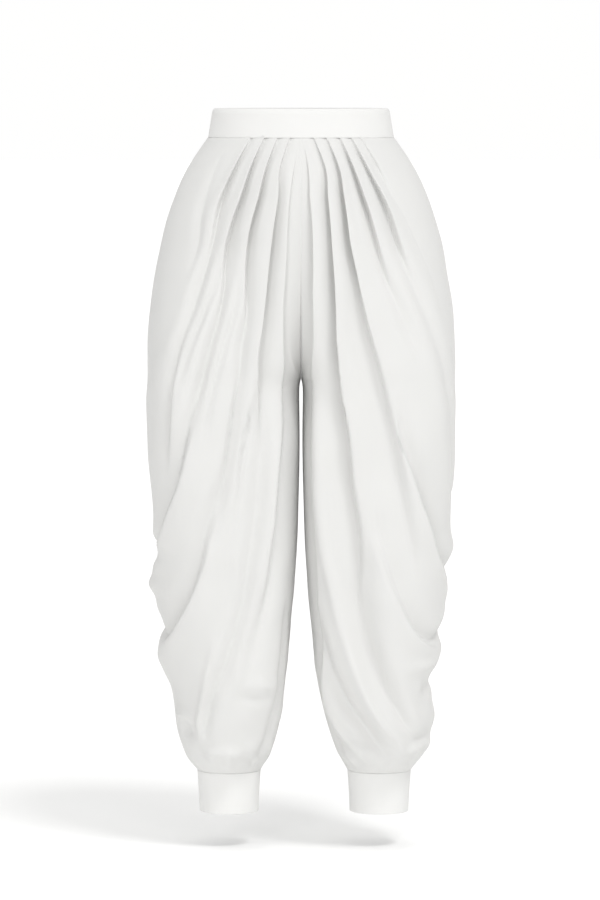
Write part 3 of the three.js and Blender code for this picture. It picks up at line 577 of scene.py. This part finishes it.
def clothWall(outer, turn, forkRow):
    # the outer face, the inner face one wall inside it, and the four cut edges between them
    inner = outer - gridNormals(outer, forkRow) * clothGrid["wall"]
    rows, columns = turn.shape
    face = np.arange(rows * columns).reshape(rows, columns)
    face[forkRow:, -1] = face[forkRow:, 0]
    back = face + rows * columns
    above, below = slice(0, forkRow), slice(1, forkRow + 1)
    quads = np.concatenate([
        gridQuads(face[:-1, :-1], face[1:, :-1], face[1:, 1:], face[:-1, 1:]),
        gridQuads(back[:-1, :-1], back[:-1, 1:], back[1:, 1:], back[1:, :-1]),
        gridQuads(face[0, :-1], face[0, 1:], back[0, 1:], back[0, :-1]),
        gridQuads(face[-1, :-1], back[-1, :-1], back[-1, 1:], face[-1, 1:]),
        gridQuads(face[above, 0], back[above, 0], back[below, 0], face[below, 0]),
        gridQuads(face[above, -1], face[below, -1], back[below, -1], back[above, -1]),
    ])
    points = np.concatenate([outer.reshape(-1, 3), inner.reshape(-1, 3)])
    uv = np.stack([turn, outer[..., 2]], -1).reshape(-1, 2)
    return points, quads, np.concatenate([uv, uv])


def dressLeg(side):
    # the bare grid moved out along its normals by the folds' height, and along the cloth by their slide
    grid = bareGrid(side)
    turn, z, nx, ny = grid["turn"], grid["z"], grid["nx"], grid["ny"]
    height, slideX, slideZ = foldRelief(side, grid)
    height += cuffGathers(side, turn / grid["half"], z)
    below = ease((unevenness["from"] - z) / unevenness["over"])
    height += unevenness["height"] * gridNoise(turn.shape, unevenness["cells"], legSeed[side] + 1) * below
    fromEdge = grid["half"] - np.abs(turn)
    height = seamRelief(height, z, fromEdge)
    sideways = ease((grid["x"] - legForm["edgeX"]) / seams["innerFade"])
    fromTop = legForm["topZ"] - seams["topFree"] - z
    free = ease(fromEdge / seams["slideFade"]) * ease(fromTop / seams["topFade"])
    x = grid["x"] + height * nx * sideways + slideX * free * -ny
    y = grid["y"] + height * ny + slideX * free * nx
    outer = np.stack([x, y, z + slideZ * free], -1)

    def tucked(row, inwards, up):  # an edge row again, moved inwards and up
        down = np.full(turn.shape[1], -up)
        return outer[row] - np.stack([nx[row] * inwards, ny[row] * inwards, down], -1)

    # both ends turn in over a small lip, up behind the waistband and down into the cuff
    cloth = clothGrid
    top, lip = tucked(0, cloth["tuckIn"], cloth["tuck"]), tucked(0, cloth["lipIn"], cloth["lip"])
    toe, foot = tucked(-1, cloth["lipIn"], -cloth["lip"]), tucked(-1, cloth["tuckIn"], -cloth["tuck"])
    outer = np.concatenate([[top], [lip], outer, [toe], [foot]])
    turn = np.concatenate([turn[:1], turn[:1], turn, turn[-1:], turn[-1:]])
    forkRow = grid["forkRow"] + 2  # the top and lip rows are above it now
    points, quads, uv = clothWall(outer, turn, forkRow)
    if side == "right":
        points = points * [-1, 1, 1]
        quads = quads[:, ::-1]
    return points, quads, uv


waistband = {"height": 40, "topWidth": 244, "topDepth": 179, "bottomWidth": 256, "bottomDepth": 190,
             "flare": 1.35, "wall": 2.4, "roll": 3, "rollOver": 6, "gap": 0.3, "columns": 180,
             "ripple": 0.35, "waves": (7, 3), "slant": 0.05, "calmTop": 20}
cuff = {"height": 57.7, "topZ": -898.3, "topRadius": 44.2, "bottomRadius": 41, "flare": 1.4, "wall": 2.4,
        "centreX": 104.3, "centreY": 4, "columns": 150, "ripple": 0.3, "waves": (5, 2), "slant": 0.04}
bandEdge = {"faceSteps": 14, "foldSteps": 9, "lowRound": 0.5}


def bandOutline(height, wall):
    # a strip's section as (inset, height): outer face, half-round folded edge, inner face, flatter cut edge
    r, low = wall / 2, bandEdge["lowRound"]
    turned = np.linspace(0, math.pi, bandEdge["foldSteps"])
    face = r * low + (height - r * (1 + low)) * np.linspace(0, 1, bandEdge["faceSteps"])
    outer = np.stack([np.zeros(len(face)), face], 1)
    edge = np.stack([r - r * np.cos(turned), height - r + r * np.sin(turned)], 1)[1:-1]
    inner = np.stack([np.full(len(face), wall), face[::-1]], 1)
    cut = np.stack([r - r * np.cos(turned[::-1]), r * low - r * low * np.sin(turned)], 1)[1:-1]
    return np.concatenate([outer, edge, inner, cut])


def sweptBand(outline, halfWidth, halfDepth, ripple, centre, baseZ, angles, closed):
    # every corner of the outline carried round an ellipse about the centre:
    # x = (halfWidth - inset + ripple) cos a, y = (halfDepth - inset + ripple) sin a
    inset, up = outline[:, 0][None, :], outline[:, 1][None, :]
    a = angles[:, None]
    x = centre[0] + (halfWidth - inset + ripple) * np.cos(a)
    y = centre[1] + (halfDepth - inset + ripple) * np.sin(a)
    points = np.stack([x, y, baseZ + up + 0 * a], -1)
    rows, n = points.shape[:2]
    index = np.arange(rows * n).reshape(rows, n)
    following = np.roll(index, -1, axis=1)
    if closed:
        far = np.roll(index, -1, axis=0)
        quads = gridQuads(index, far, np.roll(far, -1, axis=1), following)
    else:
        quads = gridQuads(index[:-1], index[1:], following[1:], following[:-1])
        k = np.arange(n // 2)
        for row, turned in ((index[0], False), (index[-1], True)):
            cap = gridQuads(row[k], row[(k + 1) % n], row[(n - 2 - k) % n], row[(n - 1 - k) % n])
            cap = cap[[len(set(quad)) == 4 for quad in cap.tolist()]]
            quads = np.concatenate([quads, cap[:, ::-1] if turned else cap])
    uv = np.stack([halfWidth * a, up + 0 * a], -1)
    return points, quads, uv


def waistbandHalf(isFront):
    # half an ellipse that widens downwards by (1 - share of the height)^flare; its top edge rolls in
    # by a square, and two sines ripple its lower part
    w = waistband
    gapAngle = w["gap"] / w["topWidth"]
    angles = (-math.pi if isFront else 0) + np.linspace(gapAngle, math.pi - gapAngle, w["columns"])
    outline = bandOutline(w["height"], w["wall"])
    nearTop = np.clip((outline[:, 1] - w["height"] + w["rollOver"]) / w["rollOver"], 0, 1)
    outline[:, 0] += w["roll"] * nearTop**2
    up, a = outline[:, 1][None, :], angles[:, None]
    flare = np.abs(1 - up / w["height"]) ** w["flare"]
    halfWidth = (w["topWidth"] + (w["bottomWidth"] - w["topWidth"]) * flare) / 2
    halfDepth = (w["topDepth"] + (w["bottomDepth"] - w["topDepth"]) * flare) / 2
    ripple = w["ripple"] * np.sin(w["waves"][0] * a + w["slant"] * up) * np.sin(w["waves"][1] * a + 1)
    ripple = ripple * ease((w["height"] - up) / w["calmTop"])
    return sweptBand(outline, halfWidth, halfDepth, ripple, (0, 0), -w["height"] / 2, angles, False)


def cuffTube(side):
    # a whole circle that widens upwards by (share of the height)^flare, with two sines for ripples;
    # its folded edge is the lower one, so the section is turned over
    c = cuff
    sign = 1 if side == "left" else -1
    angles = np.linspace(0, 2 * math.pi, c["columns"], endpoint=False)
    outline = bandOutline(c["height"], c["wall"])
    outline[:, 1] = c["height"] - outline[:, 1]
    outline = outline[::-1]
    up, a = outline[:, 1][None, :], angles[:, None]
    radius = c["bottomRadius"] + (c["topRadius"] - c["bottomRadius"]) * (up / c["height"]) ** c["flare"]
    ripple = c["ripple"] * np.sin(c["waves"][0] * a + sign) * np.sin(c["waves"][1] * a + c["slant"] * up)
    centre = (sign * (c["centreX"] + legForm["footShift"][side]), c["centreY"])
    return sweptBand(outline, radius, radius, ripple, centre, c["topZ"] - c["height"], angles, True)


def addNode(tree, kind, settings={}, inputs={}):
    # a new node in the tree, with its settings first and then the values of its inputs
    node = tree.nodes.new(kind)
    for name, value in settings.items():
        setattr(node, name, value)
    for name, value in inputs.items():
        node.inputs[name].default_value = value
    return node


def join(tree, *pairs):
    # links from each first socket to each second one
    for source, target in pairs:
        tree.links.new(source, target)


crepe = {  # threads are to a metre of cloth, and bumpDistance is in metres
    "finish": {"Roughness": 0.88, "Specular IOR Level": 0.25, "Sheen Weight": 0.12, "Sheen Roughness": 0.5},
    "threads": 900, "bumpDistance": 0.0004, "ribsToThreads": 0.3, "ribHeight": 0.35,
    # the legs' colours are the bands' crepe made darker, to stand for the shade that falls on the legs:
    # painted shade
    "legs": {"light": (0.745, 0.742, 0.728), "shade": (0.725, 0.724, 0.713), "bump": 0.5},
    "bands": {"light": (0.81, 0.807, 0.793), "shade": (0.79, 0.789, 0.778), "bump": 0.45},
}


def weaveGroup():
    # height: a pebbled noise plus fine ribs across it; tone: a slow noise over the whole cloth
    group = bpy.data.node_groups.new("crepeWeave", "ShaderNodeTree")
    group.interface.new_socket("Vector", in_out="INPUT", socket_type="NodeSocketVector")
    group.interface.new_socket("Threads", in_out="INPUT", socket_type="NodeSocketFloat")
    group.interface.new_socket("Height", in_out="OUTPUT", socket_type="NodeSocketFloat")
    group.interface.new_socket("Tone", in_out="OUTPUT", socket_type="NodeSocketFloat")
    take, give = addNode(group, "NodeGroupInput"), addNode(group, "NodeGroupOutput")
    pebble = addNode(group, "ShaderNodeTexNoise", inputs={"Detail": 3, "Roughness": 0.6})
    ribs = addNode(group, "ShaderNodeTexWave", {"bands_direction": "X"}, {"Distortion": 1.4, "Detail": 2})
    broad = addNode(group, "ShaderNodeTexNoise", inputs={"Scale": 9, "Detail": 2})
    ribScale = addNode(group, "ShaderNodeMath", {"operation": "MULTIPLY"}, {1: crepe["ribsToThreads"]})
    relief = addNode(group, "ShaderNodeMath", {"operation": "MULTIPLY_ADD"}, {1: crepe["ribHeight"]})
    join(group,
         (take.outputs["Vector"], pebble.inputs["Vector"]),
         (take.outputs["Threads"], pebble.inputs["Scale"]),
         (take.outputs["Vector"], ribs.inputs["Vector"]), (take.outputs["Threads"], ribScale.inputs[0]),
         (ribScale.outputs[0], ribs.inputs["Scale"]), (take.outputs["Vector"], broad.inputs["Vector"]),
         (ribs.outputs["Fac"], relief.inputs[0]), (pebble.outputs["Fac"], relief.inputs[2]),
         (relief.outputs[0], give.inputs["Height"]), (broad.outputs["Fac"], give.inputs["Tone"]))
    return group


weave = weaveGroup()


def crepeMaterial(name, look):
    # colour: the weave's tone mixes shade and light; bump: the weave's height
    material = bpy.data.materials.new(name)
    material.use_nodes = True
    tree = material.node_tree
    shader = tree.nodes["Principled BSDF"]
    for finish, value in crepe["finish"].items():
        shader.inputs[finish].default_value = value
    uv = addNode(tree, "ShaderNodeUVMap", {"uv_map": "cloth"})
    cloth = addNode(tree, "ShaderNodeGroup", {"node_tree": weave}, {"Threads": crepe["threads"]})
    colours = {"A": (*look["shade"], 1), "B": (*look["light"], 1)}
    tone = addNode(tree, "ShaderNodeMix", {"data_type": "RGBA"}, colours)
    heights = {"Strength": look["bump"], "Distance": crepe["bumpDistance"]}
    raised = addNode(tree, "ShaderNodeBump", inputs=heights)
    join(tree,
         (uv.outputs["UV"], cloth.inputs["Vector"]), (cloth.outputs["Tone"], tone.inputs["Factor"]),
         (tone.outputs["Result"], shader.inputs["Base Color"]),
         (cloth.outputs["Height"], raised.inputs["Height"]),
         (raised.outputs["Normal"], shader.inputs["Normal"]))
    return material


# the legs and bands are the same cloth; the legs' darker crepe is painted shade
shadedLegCloth = crepeMaterial("legCrepePaintedShade", crepe["legs"])
bandCloth = crepeMaterial("bandCrepe", crepe["bands"])

for side in ("left", "right"):
    makePiece("leg_" + side, *dressLeg(side), shadedLegCloth, "leg_cloth")
    print("leg made:", side)
for name, isFront in (("waistband_front", True), ("waistband_back", False)):
    makePiece(name, *waistbandHalf(isFront), bandCloth, "band_cloth")
for side in ("left", "right"):
    makePiece("cuff_" + side, *cuffTube(side), bandCloth, "band_cloth")
print("waistband and cuffs made")

# The stage is in metres, and the camera's aim in mm.
stage = {"floorZ": -1.004, "halfSize": 60, "colour": (0.93, 0.93, 0.925), "glow": 0.14, "roughness": 0.9,
         "specular": 0.1}
sky = {  # a bright wall past the garment, dimmer round it, and more light from high up
    "wall": 1.0, "wallFrom": 0.993, "around": 0.39, "aroundAt": (0.55, 0.95), "behind": 0.54,
    "over": 0.42, "overFrom": 0.2, "overTo": 0.8, "colour": (1, 1, 0.995),
}
suns = {
    "high": {"from": (1.65, -2.35, 4.6), "strength": 0.88, "softness": 13.5},
    "key": {"from": (-1.1, -3.4, 1.3), "strength": 0.42, "softness": 14},
    "fill": {"from": (1.3, -3.4, 0.9), "strength": 0.24, "softness": 14},
}
cameraPlan = {"away": 6.3, "lift": 0.5, "aimX": -1.4, "aimZ": -452, "mmPerPixel": 1.38, "pixelsHigh": 900,
              "sensor": 36}


def buildFloor():
    # one white square that glows a little, so that the shadow on it stays pale
    s, z = stage["halfSize"], stage["floorZ"]
    mesh = bpy.data.meshes.new("floor")
    mesh.from_pydata([(-s, -s, z), (s, -s, z), (s, s, z), (-s, s, z)], [], [(0, 1, 2, 3)])
    finish = bpy.data.materials.new("floorFinish")
    finish.use_nodes = True
    shader = finish.node_tree.nodes["Principled BSDF"]
    shader.inputs["Base Color"].default_value = (*stage["colour"], 1)
    shader.inputs["Roughness"].default_value = stage["roughness"]
    shader.inputs["Specular IOR Level"].default_value = stage["specular"]
    shader.inputs["Emission Color"].default_value = (1, 1, 1, 1)
    shader.inputs["Emission Strength"].default_value = stage["glow"]
    mesh.materials.append(finish)
    floor = bpy.data.objects.new("floor", mesh)
    bpy.context.scene.collection.objects.link(floor)
    return floor


def grey(level):
    # the same level of red, green and blue
    return (level, level, level, 1)


def buildSky():
    # strength = a ramp over (1 + y) / 2 of the direction looked in, plus more from high up
    world = bpy.data.worlds.new("studio")
    world.use_nodes = True
    tree = world.node_tree
    direction = addNode(tree, "ShaderNodeTexCoord")
    parts = addNode(tree, "ShaderNodeSeparateXYZ")
    onward = addNode(tree, "ShaderNodeMath", {"operation": "MULTIPLY_ADD"}, {1: 0.5, 2: 0.5})
    levels = addNode(tree, "ShaderNodeValToRGB")
    ramp = levels.color_ramp
    ramp.elements[0].color = grey(sky["behind"])
    ramp.elements[1].position = sky["wallFrom"]
    ramp.elements[1].color = grey(sky["wall"])
    for place in sky["aroundAt"]:
        ramp.elements.new(place).color = grey(sky["around"])
    over = addNode(tree, "ShaderNodeMapRange", {"interpolation_type": "SMOOTHSTEP"},
                   {"From Min": sky["overFrom"], "From Max": sky["overTo"], "To Max": sky["over"]})
    both = addNode(tree, "ShaderNodeMath", {"operation": "ADD"})
    background = tree.nodes["Background"]
    background.inputs["Color"].default_value = (*sky["colour"], 1)
    join(tree,
         (direction.outputs["Generated"], parts.inputs["Vector"]), (parts.outputs["Y"], onward.inputs[0]),
         (onward.outputs[0], levels.inputs["Fac"]), (parts.outputs["Z"], over.inputs["Value"]),
         (levels.outputs["Color"], both.inputs[0]), (over.outputs["Result"], both.inputs[1]),
         (both.outputs[0], background.inputs["Strength"]))
    bpy.context.scene.world = world
    bpy.context.scene.view_settings.view_transform = "Standard"


def buildSuns():
    # each sun shines from its place to the middle of the waistband; softness is its width in degrees
    for name, plan in suns.items():
        light = bpy.data.lights.new(name, "SUN")
        light.energy = plan["strength"]
        light.angle = math.radians(plan["softness"])
        lamp = bpy.data.objects.new(name, light)
        lamp.location = plan["from"]
        lamp.rotation_euler = (-Vector(plan["from"])).to_track_quat("-Z", "Y").to_euler()
        bpy.context.scene.collection.objects.link(lamp)


def buildCamera():
    # lens = sensor x distance / the height in view at that distance
    plan = cameraPlan
    camera = bpy.data.cameras.new("camera")
    camera.sensor_width = plan["sensor"]
    camera.lens = plan["away"] * 1000 / plan["mmPerPixel"] / plan["pixelsHigh"] * plan["sensor"]
    holder = bpy.data.objects.new("camera", camera)
    bpy.context.scene.collection.objects.link(holder)
    aim = Vector((plan["aimX"], 0, plan["aimZ"])) * mm
    holder.location = aim + Vector((0, -plan["away"], plan["lift"]))
    holder.rotation_euler = (aim - holder.location).to_track_quat("-Z", "Y").to_euler()
    bpy.context.scene.camera = holder


floor = buildFloor()
buildSky()
buildSuns()
buildCamera()
print("stage, lights and camera ready")
